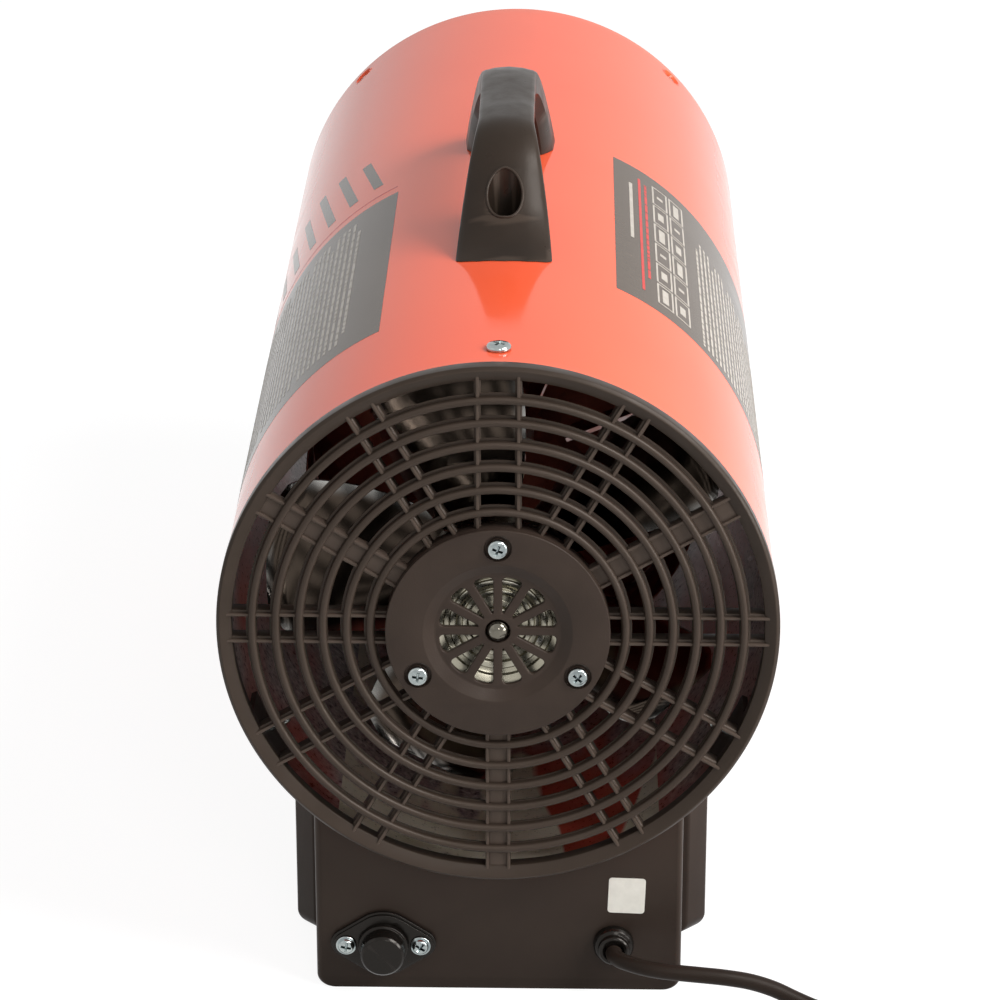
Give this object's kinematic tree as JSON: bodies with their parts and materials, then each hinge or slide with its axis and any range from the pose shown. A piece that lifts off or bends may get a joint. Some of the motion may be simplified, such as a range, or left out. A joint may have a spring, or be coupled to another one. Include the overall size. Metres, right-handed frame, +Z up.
{
  "type": "portable gas heater",
  "caption": "Tubular blower heater with a painted casing, rear grille, fan and burner inside, carrying handle, moulded base, gas inlet and power cord.",
  "frame": {"origin": "on the floor, under the middle of the heater without its cord", "axes": "+Z up, +Y along the casing towards the warm air outlet, +X to the right seen from the grille end"},
  "size_m": [0.3417, 0.6275, 0.311],
  "materials": {
    "paint": "glossy orange-red enamel",
    "grille_plastic": "satin dark brown moulding",
    "base_plastic": "satin black-brown moulding",
    "black_plastic": "black moulding",
    "cord_sheath": "smooth black cord sheath",
    "zinc_steel": "bright zinc plated",
    "galvanised_steel": "galvanised sheet",
    "fan_aluminium": "plain rolled sheet",
    "gas_brass": "machined",
    "gas_copper": "drawn copper tube",
    "white_ceramic": "unglazed insulator",
    "pin_nickel": "nickel plated"
  },
  "bodies": {
    "heater_body": {"outer_casing": "paint", "rear_grille": "grille_plastic", "grille_screw_1": "zinc_steel", "grille_screw_2": "zinc_steel", "grille_screw_3": "zinc_steel", "hub_screw_1": "zinc_steel", "hub_screw_2": "zinc_steel", "hub_screw_3": "zinc_steel", "motor_housing": "galvanised_steel", "combustion_cylinder": "galvanised_steel", "cylinder_screw_1": "zinc_steel", "cylinder_screw_2": "zinc_steel", "cylinder_screw_3": "zinc_steel", "cylinder_screw_4": "zinc_steel", "burner_plate": "galvanised_steel", "gas_jet": "gas_brass", "spark_electrode": "white_ceramic", "thermocouple": "gas_copper", "gas_tube": "gas_copper", "handle": "base_plastic", "handle_screw_1": "zinc_steel", "handle_screw_2": "zinc_steel", "base_housing": "base_plastic", "bottom_plate": "galvanised_steel", "plate_screw_1": "zinc_steel", "plate_screw_2": "zinc_steel", "plate_screw_3": "zinc_steel", "plate_screw_4": "zinc_steel", "saddle_screw_1": "zinc_steel", "saddle_screw_2": "zinc_steel", "inlet_flange": "base_plastic", "flange_screw_1": "zinc_steel", "flange_screw_2": "zinc_steel", "inlet_nipple": "gas_brass", "supply_tube": "gas_copper", "valve_body": "gas_brass", "valve_sleeve": "black_plastic", "igniter_sleeve": "black_plastic", "igniter_body": "black_plastic", "cable_gland": "black_plastic", "gland_nut": "black_plastic", "power_cord": "cord_sheath", "cord_coil": "cord_sheath", "plug_lead": "cord_sheath", "plug_body": "cord_sheath", "plug_pin_1": "pin_nickel", "plug_pin_2": "pin_nickel"},
    "fan_rotor": {"fan": "fan_aluminium", "motor_shaft": "zinc_steel", "fan_nut": "zinc_steel"},
    "inlet_cap": {"inlet_cap": "black_plastic"},
    "valve_button": {"valve_button": "black_plastic"},
    "igniter_button": {"igniter_button": "black_plastic"}
  },
  "joints": [
    {"name": "fan_spin", "type": "hinge", "parent": "heater_body", "child": "fan_rotor", "pos_m": [0, -0.1806, 0.162], "axis": [0, 1, 0], "continuous": true},
    {"name": "cap_pull", "type": "slide", "parent": "heater_body", "child": "inlet_cap", "axis": [0, -1, 0], "range_m": [0, 0.03]},
    {"name": "valve_press", "type": "slide", "parent": "heater_body", "child": "valve_button", "axis": [1, 0, 0], "range_m": [0, 0.005], "stiffness_N_per_m": 500, "springref_m": -0.003},
    {"name": "igniter_press", "type": "slide", "parent": "heater_body", "child": "igniter_button", "axis": [1, 0, 0], "range_m": [0, 0.006], "stiffness_N_per_m": 700, "springref_m": -0.003}
  ]
}
